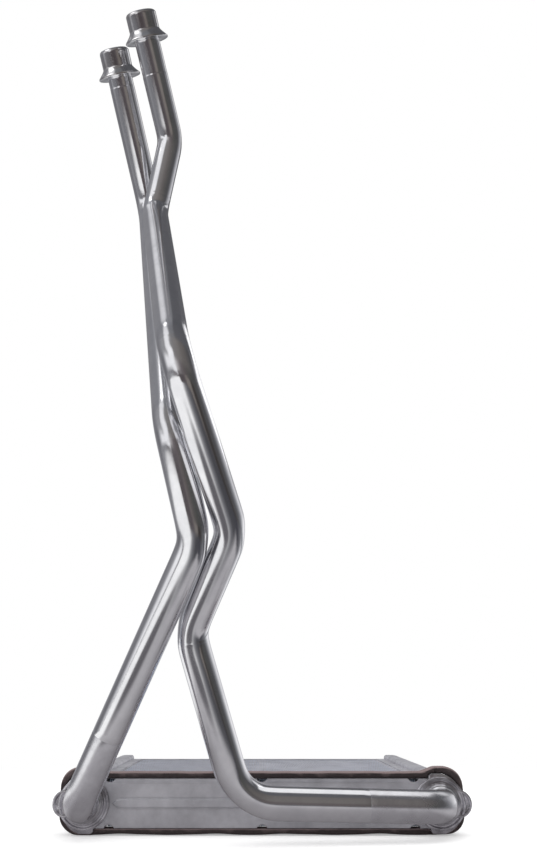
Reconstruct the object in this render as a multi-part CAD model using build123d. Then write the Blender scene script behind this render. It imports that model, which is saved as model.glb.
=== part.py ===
from build123d import *

import os

# Heater core of a car, with its two long bent water pipes.
# Millimetres. X runs along the flat tubes, from the left tank to the right one.
# Y runs along the tanks, away from the face with the pipe fittings. Z is up.
# The part rests on its large face at Z = 0. It is drawn with the front side plate's face
# at Y = 0, and saved with Y = 0 at the middle of the foam seal's depth.

# Core: flat tubes stacked along Y, with a folded fin on each side of every tube.
tube_count = 18
tube_thickness = 2.0
tube_width = 26.0
tube_wall = 0.4
tube_reach = 2.0
fin_height = 7.9
fin_inset = 0.2
fin_pitch = 7.0
fin_crest = 1.3
fin_gauge = 0.3

# Side plates close the stack at the front and the back, and stand a margin over the tubes.
plate_gauge = 1.5
plate_margin = 0.5
plate_half_length = 91.5
bead_width = 5.4
bead_rise = 0.9
bead_inset = 1.5
notch_radius = 3.6
notch_depth = 1.9
notch_from_end = 2.6

# Header trays take the tube ends, and the tanks close them and stand proud of them.
header_gauge = 2.0
header_rim = 1.5
header_depth = 6.0
tank_width = 18.0
tank_proud = 2.8
tank_wall = 1.5
tank_outer_corner = 12.0
tank_inner_corner = 2.0

# End caps: a pressed plate with a ring, and at the front a collar for the pipe.
cap_gauge = 1.5
cap_ring_radius = 14.5
cap_ring_rise = 1.5
cap_ring_land = 1.4
cap_groove = 1.5
cap_step_rise = 2.6
cap_collar_wall = 1.7
cap_collar_rise = 4.0
cap_dome_rise = 1.6
lug_radius = 7.6
lug_gauge = 3.2
lug_reach = 3.6
lug_lip = 1.5
lug_recess = 1.6

# Foam seal stuck round the front of the core: its thickness under the tanks, over them,
# on the core's own top and beside the tanks.
foam_under = 1.0
foam_over = 3.8
foam_top = 3.8
foam_side = 2.5
foam_depth = 11.0
foam_corner = 11.0
foam_shoulder = 8.0

# Water pipes, each an elbow brazed to a long bent pipe. The named places are the corners
# that each pipe's straight runs would meet at, and the middle of its socket's mouth.
pipe_outer = 18.0
pipe_wall = 1.5
elbow_arm = 45.0
left_reach = 28.0
right_reach = 22.0
left_knee = (-36.5, -79.5, 158.0)
left_lean = (-51.5, -91.5, 220.5)
left_neck = (-82.0, 51.0, 429.0)
left_mouth = (-106.5, -4.5, 530.5)
left_radii = [18.0, 27.0, 27.0, 24.0]
right_foot = (-13.0, -33.5, 21.0)
right_hook = (-40.5, -52.5, 111.5)
right_knee = (-16.5, -76.0, 163.0)
right_lean = (-47.0, -124.5, 251.5)
right_neck = (-75.0, 16.5, 410.0)
right_shoulder = (-64.5, 11.5, 464.5)
right_mouth = (-84.5, -31.0, 541.0)
right_radii = [15.0, 27.0, 24.0, 24.0, 27.0, 20.0, 20.0]

# Sockets at the pipes' free ends.
socket_radius = 10.75
socket_length = 19.8
socket_round = 2.5
socket_bore = 16.0
socket_seat = 14.0
flare_radius = 15.2
flare_length = 6.8
flare_lip = 1.1
flare_bow = 0.35

# Places that follow from the sizes above.
core_depth = 2 * plate_gauge + (tube_count + 1) * fin_height + tube_count * tube_thickness
fin_width = tube_width - 2 * fin_inset
plate_height = tube_width + 2 * plate_margin
tank_height = plate_height + 2 * tank_proud
mid_z = foam_under + tank_height / 2
header_face = plate_half_length + header_gauge
header_end = plate_half_length + header_depth
tank_end = header_end + tank_width
foam_end = tank_end + foam_side
port_x = foam_end - cap_ring_radius
pipe_radius = pipe_outer / 2


def save(shape, name):
    """Move one sub-part to the part's own origin and write it under its node's name."""
    placed = Pos(0, -foam_depth / 2, 0) * shape
    placed.label = name
    export_step(placed, f"parts/{name}.step")


def block(x0, x1, y0, y1, z0, z1):
    """A box between two opposite corners."""
    centre = Pos((x0 + x1) / 2, (y0 + y1) / 2, (z0 + z1) / 2)
    return centre * Box(x1 - x0, y1 - y0, z1 - z0)


def along_y(face, y0, y1):
    """Carry a face drawn in X and Z from y0 to y1."""
    # The drawing plane is turned so that its own Y is the part's Z.
    drawn = Plane(origin=(0, y0, 0), x_dir=(1, 0, 0), z_dir=(0, -1, 0))
    return extrude(drawn * face, amount=y0 - y1)


def round_corners(face, x, z, radius):
    """Round the corners of a drawn face that lie at one place."""
    corners = [v for v in face.vertices() if abs(v.X - x) < 1e-4 and abs(v.Y - z) < 1e-4]
    return fillet(corners, radius)


# Flat tubes and fins

def tube_outline(grow):
    """The flat tube's rounded section in Y and Z, made smaller all round by a wall."""
    return SlotOverall(tube_width - 2 * grow, tube_thickness - 2 * grow, rotation=90)


def make_flat_tube(y):
    """One extruded tube that runs through both header trays."""
    reach = header_face + tube_reach
    section = tube_outline(0) - tube_outline(tube_wall)
    across = Plane(origin=(-reach, y, mid_z), x_dir=(0, 1, 0), z_dir=(1, 0, 0))
    return extrude(across * section, amount=2 * reach)


def tube_slot(y):
    """The space that one flat tube takes, for the slots in the header trays."""
    reach = header_face + 2 * tube_reach
    across = Plane(origin=(-reach, y, mid_z), x_dir=(0, 1, 0), z_dir=(1, 0, 0))
    return extrude(across * tube_outline(0), amount=2 * reach)


def make_fin():
    """One fin strip, folded into flat-crested waves between its two neighbours."""
    waves = int((2 * plate_half_length - fin_crest) / fin_pitch)
    flank = fin_pitch / 2 - fin_crest
    lean = Vector(flank, fin_height).get_angle(Vector(1, 0))
    corner_shift = fin_gauge * Vector(1, 0).rotate(Axis.Z, lean / 2).Y
    corner_shift /= Vector(1, 0).rotate(Axis.Z, lean / 2).X
    top, low = fin_height / 2, fin_height / 2 - fin_gauge
    start = -(waves * fin_pitch + fin_crest) / 2
    upper, lower = [], []
    for half in range(2 * waves + 1):
        x0 = start + half * fin_pitch / 2
        x1 = x0 + fin_crest
        # The strip's two skins differ by its gauge, at the crests and at the corners.
        up, down = (top, low) if half % 2 == 0 else (-low, -top)
        spread = corner_shift / 2 if half % 2 == 0 else -corner_shift / 2
        upper += [(x0 - spread, up), (x1 + spread, up)]
        lower += [(x0 + spread, down), (x1 - spread, down)]
    outline = make_face(Polyline(*upper, *reversed(lower), close=True))
    return Pos(0, 0, mid_z - fin_width / 2) * extrude(outline, amount=fin_width)


# Side plates

def make_side_plate(face_y, outward):
    """A plate with a long bead and three half-round notches in each long edge."""
    plate_end = plate_half_length
    back_y = face_y - outward * plate_gauge
    low_y, high_y = sorted((face_y, back_y))
    bottom = mid_z - plate_height / 2
    top = mid_z + plate_height / 2
    plate = block(-plate_end, plate_end, low_y, high_y, bottom, top)
    bead_radius = (bead_width ** 2 / 4 + bead_rise ** 2) / (2 * bead_rise)
    bead_y = face_y + outward * (bead_rise - bead_radius)
    bead_half = plate_end - port_inset() - bead_inset
    bead = Pos(0, bead_y, mid_z) * Rot(0, 90, 0) * Cylinder(bead_radius, 2 * bead_half)
    proud = face_y + outward * bead_rise
    bead &= block(-bead_half, bead_half, min(face_y, proud), max(face_y, proud), bottom, top)
    plate += bead
    notch_x = plate_end - notch_from_end
    for x in (-notch_x, 0, notch_x):
        for edge, side in ((bottom, -1), (top, 1)):
            z = edge + side * (notch_radius - notch_depth)
            round_cut = Rot(90, 0, 0) * Cylinder(notch_radius, 4 * plate_gauge)
            plate -= Pos(x, (low_y + high_y) / 2, z) * round_cut
    return plate


def port_inset():
    """How far an end cap's ring reaches in over the end of the side plate."""
    return plate_half_length - (port_x - cap_ring_radius)


# Header trays and tanks

def make_header_tray(side):
    """An open tray with one slot for each flat tube."""
    bottom = mid_z - plate_height / 2
    top = mid_z + plate_height / 2
    tray = block(plate_half_length, header_end, 0, core_depth, bottom, top)
    tray -= block(header_face, header_end + 1, header_rim, core_depth - header_rim,
                  bottom + header_rim, top - header_rim)
    if side < 0:
        tray = mirror(tray, about=Plane.YZ)
    for y in tube_places:
        tray -= tube_slot(y)
    return tray


def tank_outline(inset):
    """The tank's section in X and Z: square towards the core, round outside."""
    x0, x1 = header_end + inset, tank_end - inset
    z0 = mid_z - tank_height / 2 + inset
    z1 = mid_z + tank_height / 2 - inset
    face = make_face(Polyline((x0, z0), (x1, z0), (x1, z1), (x0, z1), close=True))
    inner = max(tank_inner_corner - inset, 0.4)
    for z in (z0, z1):
        face = round_corners(face, x1, z, tank_outer_corner - inset)
        face = round_corners(face, x0, z, inner)
    return face


def make_tank(side):
    """A drawn tank, open towards its header tray and closed by its end caps."""
    tank = along_y(tank_outline(0) - tank_outline(tank_wall), 0, core_depth)
    half_window = plate_height / 2 - header_rim
    tank -= block(header_end - 1, header_end + tank_wall + 1, header_rim,
                  core_depth - header_rim, mid_z - half_window, mid_z + half_window)
    return tank if side > 0 else mirror(tank, about=Plane.YZ)


# End caps, drawn for the right tank with their back at Y = 0

def cap_profile(outline):
    """A turned profile of radius and rise, carried once round the port's axis."""
    turned = Plane(origin=(port_x, 0, mid_z), x_dir=(1, 0, 0), z_dir=(0, 0, 1))
    face = make_face(Polyline(*[(r, -rise) for r, rise in outline], close=True))
    return revolve(turned * face, Axis((port_x, 0, mid_z), (0, 1, 0)))


def cap_plate():
    """The flat part of a cap with its side lug, which has a recess in its face."""
    ring = Pos(port_x, mid_z) * Circle(cap_ring_radius)
    plate = along_y(tank_outline(0) + ring, -cap_gauge, 0)
    lug_x = foam_end + lug_reach - lug_radius
    lug = along_y(Pos(lug_x, mid_z) * Circle(lug_radius), -lug_gauge, 0)
    hollow = along_y(Pos(lug_x, mid_z) * Circle(lug_radius - lug_lip),
                     -lug_gauge, lug_recess - lug_gauge)
    return plate + (lug - hollow)


def make_front_cap(side):
    """A cap with a rim, a groove, a step and a collar round the pipe's elbow."""
    collar = pipe_radius + cap_collar_wall
    land = cap_ring_radius - cap_ring_land
    groove = land - cap_groove
    back = cap_gauge
    outline = [
        (0, 0), (cap_ring_radius, 0),
        (cap_ring_radius, back + cap_ring_rise), (land, back + cap_ring_rise),
        (land, back), (groove, back),
        (groove, back + cap_step_rise), (collar, back + cap_step_rise),
        (collar, back + cap_collar_rise), (0, back + cap_collar_rise),
    ]
    cap = cap_plate() + cap_profile(outline)
    bore = Rot(90, 0, 0) * Cylinder(pipe_radius, 4 * (back + cap_collar_rise))
    cap -= Pos(port_x, 0, mid_z) * bore
    return cap if side > 0 else mirror(cap, about=Plane.YZ)


def make_rear_cap(side):
    """A blind cap with the same rim round a low pressed disc."""
    land = cap_ring_radius - cap_ring_land
    groove = land - cap_groove
    back = cap_gauge
    outline = [
        (0, 0), (cap_ring_radius, 0),
        (cap_ring_radius, back + cap_ring_rise), (land, back + cap_ring_rise),
        (land, back), (groove, back),
        (groove - cap_dome_rise, back + cap_dome_rise), (0, back + cap_dome_rise),
    ]
    cap = mirror(cap_plate() + cap_profile(outline), about=Plane.XZ)
    cap = Pos(0, core_depth, 0) * cap
    return cap if side > 0 else mirror(cap, about=Plane.YZ)


# Foam seal

def make_foam_seal():
    """A band of foam that hugs the core's section and rises over the tanks."""
    flat_top = mid_z + plate_height / 2 + foam_top
    tank_top = mid_z + tank_height / 2 + foam_over
    shoulder_x = header_end + foam_over
    points = [
        (0, 0), (foam_end, 0), (foam_end, tank_top), (shoulder_x, tank_top),
        (shoulder_x - foam_shoulder, flat_top), (0, flat_top),
    ]
    half = make_face(Polyline(*points, close=True))
    half = round_corners(half, foam_end, 0, foam_corner)
    half = round_corners(half, foam_end, tank_top, foam_corner)
    half = round_corners(half, shoulder_x, tank_top, foam_shoulder)
    half = round_corners(half, shoulder_x - foam_shoulder, flat_top, foam_shoulder)
    core = Pos(header_end / 2, mid_z) * Rectangle(header_end, plate_height)
    half = half - core - tank_outline(0)
    band = along_y(half, 0, foam_depth)
    return band + mirror(band, about=Plane.YZ)


# Pipes

def tube_along(path, outer, wall):
    """A hollow round tube swept along a path of straight runs and arcs."""
    start = Plane(origin=path @ 0, z_dir=path % 0)
    ring = Circle(outer / 2) - Circle(outer / 2 - wall)
    return sweep(start * ring, path=path)


def make_pipe_run(side, reach, bends, mouth, radii):
    """The elbow out of an end cap, and the long pipe that goes on into its socket."""
    port = Vector(side * port_x, 0, mid_z)
    corner = port - Vector(0, reach, 0)
    away = (Vector(bends[0]) - corner).normalized()
    joint = corner + away * elbow_arm
    elbow_path = FilletPolyline(port, corner, joint, radius=radii[0])
    seat = Vector(mouth) - socket_axis(bends[-1], mouth) * (socket_length - socket_seat)
    pipe_path = FilletPolyline(joint, *bends, seat, radius=radii[1:])
    elbow = tube_along(elbow_path, pipe_outer, pipe_wall)
    return elbow, tube_along(pipe_path, pipe_outer, pipe_wall)


def socket_axis(last_bend, mouth):
    """The way a pipe's last run points."""
    return (Vector(mouth) - Vector(last_bend)).normalized()


def make_socket(last_bend, mouth):
    """A turned socket on a pipe's end, with a flared skirt round its foot."""
    axis = socket_axis(last_bend, mouth)
    # The profile's first value is a radius, and its second a height over the skirt's foot.
    with BuildLine() as edge:
        Line((pipe_radius, 0), (flare_radius, 0))
        Line((flare_radius, 0), (flare_radius, flare_lip))
        ThreePointArc((flare_radius, flare_lip),
                      ((socket_radius + flare_radius) / 2 - flare_bow,
                       (flare_lip + flare_length) / 2),
                      (socket_radius, flare_length))
        Line((socket_radius, flare_length), (socket_radius, socket_length - socket_round))
        RadiusArc((socket_radius, socket_length - socket_round),
                  (socket_radius - socket_round, socket_length), -socket_round)
        Line((socket_radius - socket_round, socket_length), (socket_bore / 2, socket_length))
        Line((socket_bore / 2, socket_length), (socket_bore / 2, socket_seat))
        Line((socket_bore / 2, socket_seat), (pipe_radius, socket_seat))
        Line((pipe_radius, socket_seat), (pipe_radius, 0))
    turned = revolve(Plane.XZ * make_face(edge.line), Axis.Z)
    foot = Vector(mouth) - axis * socket_length
    return Plane(origin=foot, z_dir=axis) * turned


os.makedirs("parts", exist_ok=True)

row_pitch = fin_height + tube_thickness
first_tube = plate_gauge + fin_height + tube_thickness / 2
tube_places = [first_tube + i * row_pitch for i in range(tube_count)]
fin_places = [first_tube - row_pitch / 2 + i * row_pitch for i in range(tube_count + 1)]

for i, y in enumerate(tube_places):
    save(make_flat_tube(y), f"flat_tube_{i + 1:02d}")
fin = make_fin()
for i, y in enumerate(fin_places):
    save(Pos(0, y, 0) * fin, f"fin_{i + 1:02d}")

save(make_side_plate(0, -1), "side_plate_front")
save(make_side_plate(core_depth, 1), "side_plate_rear")
for side, word in ((-1, "left"), (1, "right")):
    save(make_header_tray(side), f"header_tray_{word}")
    save(make_tank(side), f"tank_{word}")
    save(make_front_cap(side), f"front_cap_{word}")
    save(make_rear_cap(side), f"rear_cap_{word}")
save(make_foam_seal(), "foam_seal")

left_bends = [left_knee, left_lean, left_neck]
left_elbow, left_pipe = make_pipe_run(-1, left_reach, left_bends, left_mouth, left_radii)
save(left_elbow, "elbow_left")
save(left_pipe, "pipe_left")
save(make_socket(left_neck, left_mouth), "socket_left")

right_bends = [right_foot, right_hook, right_knee, right_lean, right_neck, right_shoulder]
right_elbow, right_pipe = make_pipe_run(1, right_reach, right_bends, right_mouth, right_radii)
save(right_elbow, "elbow_right")
save(right_pipe, "pipe_right")
save(make_socket(right_shoulder, right_mouth), "socket_right")
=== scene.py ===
"""Looks of a car's heater core: a brazed aluminium block with two long bent water pipes."""

import logging
from dataclasses import dataclass, fields
from enum import Enum
from math import cos, pi, radians
from typing import Any, ClassVar, Optional, Sequence, Union

import bpy
import numpy as np
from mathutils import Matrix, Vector


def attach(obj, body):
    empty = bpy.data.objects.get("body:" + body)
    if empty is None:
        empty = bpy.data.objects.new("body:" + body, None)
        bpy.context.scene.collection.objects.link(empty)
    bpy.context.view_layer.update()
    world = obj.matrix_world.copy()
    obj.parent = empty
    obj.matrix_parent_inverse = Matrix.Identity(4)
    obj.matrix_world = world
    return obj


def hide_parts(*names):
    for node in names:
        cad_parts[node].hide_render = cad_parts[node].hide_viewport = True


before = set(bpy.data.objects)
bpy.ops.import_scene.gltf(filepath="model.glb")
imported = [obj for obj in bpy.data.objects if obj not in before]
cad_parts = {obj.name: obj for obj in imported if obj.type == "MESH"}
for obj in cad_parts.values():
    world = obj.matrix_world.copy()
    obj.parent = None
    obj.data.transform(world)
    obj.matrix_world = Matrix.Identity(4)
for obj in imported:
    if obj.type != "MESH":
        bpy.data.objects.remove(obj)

log = logging.getLogger("heater_core")

Point = tuple[float, float, float]
Span = tuple[float, float]
Source = Union[float, str, tuple, bpy.types.Node, bpy.types.NodeSocket]

MM = 0.001
BODY = "root"
PHOTO_WIDTH = 537
PHOTO_HEIGHT = 850
# The frame's origin is at the middle of the foam seal's depth. Pieces are drawn in millimetres
# from the front side plate's face, as the part is.
FRONT_FACE_Y = -5.5
MIDDLE_Z = 17.3
PORT_X = 103.5
UP = np.array([0.0, 0.0, 1.0])
FORWARD = np.array([0.0, -1.0, 0.0])
WHITE = "#FFFFFF"


# Small helpers for colours, shader nodes and meshes

def linear(hex_colour: str) -> tuple[float, float, float, float]:
    """Turn an sRGB hex colour into the linear colour that a shader takes.

    Args:
        hex_colour: Six hex digits after a hash sign.

    Returns:
        Red, green, blue and an alpha of one.
    """
    parts = [int(hex_colour[i:i + 2], 16) / 255 for i in (1, 3, 5)]
    red, green, blue = [c / 12.92 if c <= 0.04045 else ((c + 0.055) / 1.055) ** 2.4 for c in parts]
    return red, green, blue, 1.0


def blank_tree(owner: Union[bpy.types.Material, bpy.types.World]) -> bpy.types.NodeTree:
    """Give a material or a world an empty node tree.

    Args:
        owner: The material or world.

    Returns:
        The tree.
    """
    owner.use_nodes = True
    owner.node_tree.nodes.clear()
    return owner.node_tree


def add_node(tree: bpy.types.NodeTree, kind: str, inputs: Optional[dict[Any, Source]] = None,
             stops: Sequence[tuple[float, str]] = (), **settings: Any) -> bpy.types.Node:
    """Add a shader node with its settings, ramp stops and links.

    Args:
        tree: The node tree that gets the node.
        kind: The node's type name, without its first words ShaderNode.
        inputs: Socket name or number, with what goes in: a value, a hex colour, an output
            socket, or a node, which stands for the first of its outputs that is in use.
        stops: Places and hex colours of a colour ramp.
        settings: The node's own settings.

    Returns:
        The new node.
    """
    made = tree.nodes.new("ShaderNode" + kind)
    for name, value in settings.items():
        setattr(made, name, value)
    for name, value in (inputs or {}).items():
        if isinstance(value, bpy.types.Node):
            value = next(output for output in value.outputs if output.enabled)
        if isinstance(value, bpy.types.NodeSocket):
            tree.links.new(value, made.inputs[name])
        else:
            made.inputs[name].default_value = linear(value) if isinstance(value, str) else value
    if stops:
        elements = made.color_ramp.elements
        while len(elements) < len(stops):
            elements.new(0.5)
        for element, (place, colour) in zip(elements, stops):
            element.position = place
            element.color = linear(colour)
    return made


def grid_faces(rows: int, columns: int, close_rows: bool) -> tuple[np.ndarray, np.ndarray]:
    """Join the points of a grid, whose last column joins its first, into four-sided faces.

    The point in row i and column j has the number i times columns plus j.

    Args:
        rows: Number of rows.
        columns: Number of columns.
        close_rows: Whether the last row joins the first too.

    Returns:
        Point numbers of each face, and the unwrapped row and column of each of its corners.
    """
    i, j = np.meshgrid(np.arange(rows if close_rows else rows - 1), np.arange(columns),
                       indexing="ij")
    row = np.stack([i, i, i + 1, i + 1], axis=-1).reshape(-1, 4)
    column = np.stack([j, j + 1, j + 1, j], axis=-1).reshape(-1, 4)
    return (row % rows) * columns + column % columns, np.stack([row, column], axis=-1)


def end_faces(rows: int, columns: int) -> np.ndarray:
    """Close the first and last row of a grid, each by rungs between its ring's two halves.

    Args:
        rows: Number of rows.
        columns: Number of points round a row, an even count.

    Returns:
        Point numbers of each face.
    """
    go = np.arange(columns // 2)
    back = columns - 1 - go
    rungs = np.stack([go[:-1], go[1:], back[1:], back[:-1]], axis=-1)
    return np.vstack([rungs[:, ::-1], rungs + (rows - 1) * columns])


def smoothstep(value: np.ndarray) -> np.ndarray:
    """Ease from 0 to 1: three times the square less twice the cube, held outside 0 and 1."""
    held = np.clip(value, 0, 1)
    return held * held * (3 - 2 * held)


def bump(value: np.ndarray, middle: float, width: float) -> np.ndarray:
    """Rise to 1 at the middle: the exponential of minus the squared distance over the width."""
    return np.exp(-((value - middle) / width) ** 2)


def unit(vector: np.ndarray) -> np.ndarray:
    """Return the vector, or each row of vectors, with a length of one."""
    return vector / np.linalg.norm(vector, axis=-1, keepdims=True)


def soften(profile: Sequence[Span], radius: float, steps: int = 4) -> np.ndarray:
    """Round every corner of a closed profile.

    Each corner becomes a quadratic curve, from the point one radius before it to the point one
    radius after it, with the corner itself as the curve's middle handle. A side shorter than
    two radii gives up at most 45 parts in 100 of its length at each end.

    Args:
        profile: The corners in order.
        radius: Distance from a corner at which its curve starts.
        steps: Points on each corner's curve.

    Returns:
        The rounded profile's points.
    """
    corner = np.asarray(profile, float)
    start, end = (
        (corner + side * np.minimum(radius / np.maximum(np.linalg.norm(side, axis=1), 1e-9),
                                    0.45)[:, None])[:, None]
        for side in (np.roll(corner, 1, axis=0) - corner, np.roll(corner, -1, axis=0) - corner))
    t = np.linspace(0, 1, steps)[None, :, None]
    curve = (1 - t) ** 2 * start + 2 * t * (1 - t) * corner[:, None] + t ** 2 * end
    return curve.reshape(-1, 2)


@dataclass
class Shell:
    """A closed surface: points in millimetres, four-cornered faces and their unrolled places."""

    points: np.ndarray
    faces: np.ndarray
    uv: Optional[np.ndarray] = None

    def outward(self) -> "Shell":
        """Turn the faces outwards.

        The volume under a triangle is a sixth of its first corner's dot product with the cross
        product of the other two, and a shell whose volumes add up below zero is inside out.

        Returns:
            The shell itself.
        """
        a, b, c, d = (self.points[self.faces[:, k]] for k in range(4))
        volume = np.einsum("ij,ij->", a, np.cross(b, c)) + np.einsum("ij,ij->", a, np.cross(c, d))
        if volume < 0:
            self.faces = self.faces[:, ::-1]
            self.uv = None if self.uv is None else self.uv[:, ::-1]
        return self

    def joined(self, other: "Shell") -> "Shell":
        """Return both shells as one, without unrolled places."""
        return Shell(np.vstack([self.points, other.points]),
                     np.vstack([self.faces, other.faces + len(self.points)]))


@dataclass
class Piece:
    """One piece of the heater core, drawn in millimetres from the front side plate's face.

    Attributes:
        name: The piece's name.
        slot: Name of its material slot, which this script does not read.
        smooth: Whether its faces are shaded as one round surface.
        for_node: Whether it stands for the node of its name.
    """

    name: str
    slot: ClassVar[str] = "brazed_sheet"
    smooth: ClassVar[bool] = True
    for_node: ClassVar[bool] = True

    def shell(self) -> Shell:
        """Work out the surface."""
        raise NotImplementedError

    def build(self, material: bpy.types.Material) -> bpy.types.Object:
        """Put the surface into a new object that rides on the core.

        Args:
            material: The piece's material.

        Returns:
            The new object.
        """
        shell = self.shell().outward()
        points = (shell.points + np.array([0.0, FRONT_FACE_Y, 0.0])) * MM
        faces = shell.faces
        mesh = bpy.data.meshes.new(self.name)
        mesh.vertices.add(len(points))
        mesh.vertices.foreach_set("co", points.astype(np.float32).ravel())
        mesh.loops.add(faces.size)
        mesh.loops.foreach_set("vertex_index", faces.astype(np.int32).ravel())
        mesh.polygons.add(len(faces))
        mesh.polygons.foreach_set("loop_start", np.arange(0, faces.size, 4, dtype=np.int32))
        mesh.polygons.foreach_set("use_smooth", np.full(len(faces), self.smooth))
        if shell.uv is not None:
            mesh.uv_layers.new(name="unrolled")
            mesh.uv_layers[0].data.foreach_set("uv", (shell.uv * MM).astype(np.float32).ravel())
        mesh.update(calc_edges=True)
        mesh.materials.append(material)
        piece = bpy.data.objects.new(self.name, mesh)
        bpy.context.scene.collection.objects.link(piece)
        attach(piece, BODY)
        if self.for_node:
            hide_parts(self.name)
        log.info("%s: %d faces", self.name, len(faces))
        return piece


# Finishes

class Coordinates(Enum):
    """Where a finish's pattern takes its place from, as the output that gives it is called."""

    UNROLLED = "UV"
    OBJECT = "Object"


@dataclass(frozen=True)
class AluminiumFinish:
    """Bare aluminium with the grain that its making left.

    Attributes:
        name: The material's name.
        bright: Colour of the clean metal.
        dull: Colour of the hazy metal.
        roughness: Least and most roughness.
        grain: Size of one grain mark along each coordinate, in millimetres.
        grain_depth: Depth of the grain in the bump, in millimetres.
        haze: Size of the hazy patches, in millimetres.
        wave: Depth of the slow unevenness that bends reflections, in millimetres.
        coordinates: Where the grain takes its place from.
        bare: Share of bare metal, where the rest is a thin dull film of brazing flux.
        wave_length: Size of the slow unevenness, in millimetres.
        patchy: Noise at which a hazy patch starts and is full.
        grain_share: Share of the roughness that goes by grain, where the rest goes by haze.
    """

    name: str
    bright: str
    dull: str
    roughness: Span
    grain: Point
    grain_depth: float
    haze: float
    wave: float
    coordinates: Coordinates = Coordinates.OBJECT
    bare: float = 1.0
    wave_length: float = 14.0
    patchy: Span = (0.35, 0.7)
    grain_share: float = 0.4

    def material(self) -> bpy.types.Material:
        """Build the material: haze tints it and dulls it, and grain and waves are its bump.

        Returns:
            The material.
        """
        made = bpy.data.materials.new(self.name)
        tree = blank_tree(made)
        place = add_node(tree, "TexCoord").outputs
        stretched = add_node(tree, "Mapping", {
            "Vector": place[self.coordinates.value],
            "Scale": tuple(1 / (MM * size) for size in self.grain)})
        grain = add_node(tree, "TexNoise", {"Vector": stretched, "Scale": 1.0, "Detail": 3.0})
        haze = add_node(tree, "TexNoise", {
            "Vector": place["Object"], "Scale": 1 / (MM * self.haze), "Detail": 5.0,
            "Roughness": 0.62})
        patches = add_node(tree, "MapRange", {
            "Value": haze, "From Min": self.patchy[0], "From Max": self.patchy[1]})
        tint = add_node(tree, "Mix", {0: patches, 6: self.bright, 7: self.dull}, data_type="RGBA")
        blend = add_node(tree, "Mix", {0: self.grain_share, 2: patches, 3: grain})
        rough = add_node(tree, "MapRange", {
            "Value": blend, "To Min": self.roughness[0], "To Max": self.roughness[1]})
        slow = add_node(tree, "TexNoise", {
            "Vector": place["Object"], "Scale": 1 / (MM * self.wave_length), "Detail": 1.0})
        wavy = add_node(tree, "Bump", {"Height": slow, "Distance": MM * self.wave})
        grainy = add_node(tree, "Bump", {
            "Height": grain, "Distance": MM * self.grain_depth, "Normal": wavy})
        shader = add_node(tree, "BsdfPrincipled", {
            "Base Color": tint, "Metallic": self.bare, "Roughness": rough, "Normal": grainy})
        add_node(tree, "OutputMaterial", {"Surface": shader})
        return made


@dataclass(frozen=True)
class FoamFinish:
    """Soft cellular rubber: cut cells that catch no shine, with weathered blotches, and painted
    light that makes its upper side lighter and more browned.

    Attributes:
        name: The material's name.
        dark: Colour of the cut face.
        weathered_and_lit_colour: Colour of the weathered skin, which also serves as the painted
            light on its upper side.
        cell: Width of one cell, in millimetres.
        cell_depth: Depth of the cells in the bump, in millimetres.
        blotch: Size of the weathered blotches, in millimetres.
        weathering_and_top_light: Sum of noise and upward slope at which the weathered, lit colour
            starts and is full. The upward slope is painted light.
    """

    name: str = "cellular rubber foam, skived"
    dark: str = "#3C3536"
    weathered_and_lit_colour: str = "#8A7A7A"
    cell: float = 0.9
    cell_depth: float = 0.3
    blotch: float = 9.0
    weathering_and_top_light: Span = (0.55, 1.3)

    def material(self) -> bpy.types.Material:
        """Build the material: painted light browns and lightens it where the surface looks up,
        broken by cells and noise.

        Returns:
            The material.
        """
        made = bpy.data.materials.new(self.name)
        tree = blank_tree(made)
        place = add_node(tree, "TexCoord").outputs["Object"]
        cells = add_node(tree, "TexVoronoi", {"Vector": place, "Scale": 1 / (MM * self.cell)})
        age = add_node(tree, "TexNoise", {
            "Vector": place, "Scale": 1 / (MM * self.blotch), "Detail": 4.0})
        facing = add_node(tree, "NewGeometry").outputs["True Normal"]
        upward = add_node(tree, "SeparateXYZ", {0: facing}).outputs["Z"]
        # Painted light: the upward slope makes faces that look up lighter and more browned.
        noise_and_top_light = add_node(tree, "Math", {0: age, 1: upward}, operation="ADD")
        weathered_and_top_lit = add_node(tree, "MapRange", {
            "Value": noise_and_top_light, "From Min": self.weathering_and_top_light[0], "From Max": self.weathering_and_top_light[1]})
        tint = add_node(tree, "Mix", {0: weathered_and_top_lit, 6: self.dark, 7: self.weathered_and_lit_colour}, data_type="RGBA")
        celled = add_node(tree, "Bump", {"Height": cells, "Distance": MM * self.cell_depth})
        shader = add_node(tree, "BsdfPrincipled", {
            "Base Color": tint, "Roughness": 0.92, "Specular IOR Level": 0.25, "Normal": celled})
        add_node(tree, "OutputMaterial", {"Surface": shader})
        return made


# Drawn tube: pulled through a die, so fine lines run along it and it mirrors its surroundings.
DRAWN_TUBE = AluminiumFinish(
    name="drawn aluminium tube, bright", bright="#F4F4F6", dull="#E4E4E7",
    roughness=(0.1, 0.2), grain=(0.9, 45.0, 1.0), grain_depth=0.002, haze=22.0, wave=0.03,
    coordinates=Coordinates.UNROLLED)
# Elbow: the same tube after brazing, whose heat leaves a soft grey bloom on it.
BRAZED_TUBE = AluminiumFinish(
    name="drawn aluminium tube, bloomed by brazing", bright="#EEEEF1", dull="#D9D8DC",
    roughness=(0.18, 0.32), grain=(1.4, 40.0, 1.4), grain_depth=0.0015, haze=14.0, wave=0.05,
    coordinates=Coordinates.UNROLLED)
# Turned ends: the tool leaves rings round the axis.
TURNED_END = AluminiumFinish(
    name="turned aluminium, bright", bright="#EAEAEC", dull="#D2CFCE",
    roughness=(0.08, 0.18), grain=(30.0, 0.6, 1.0), grain_depth=0.002, haze=9.0, wave=0.015,
    coordinates=Coordinates.UNROLLED)
# Rolled sheet: its pass through the brazing furnace leaves it grey and satin.
BRAZED_SHEET = AluminiumFinish(
    name="brazed aluminium sheet, satin", bright="#D2D1D7", dull="#B3B2B8",
    roughness=(0.28, 0.46), grain=(40.0, 0.7, 0.7), grain_depth=0.006, haze=17.0, wave=0.05,
    bare=0.55)
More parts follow.
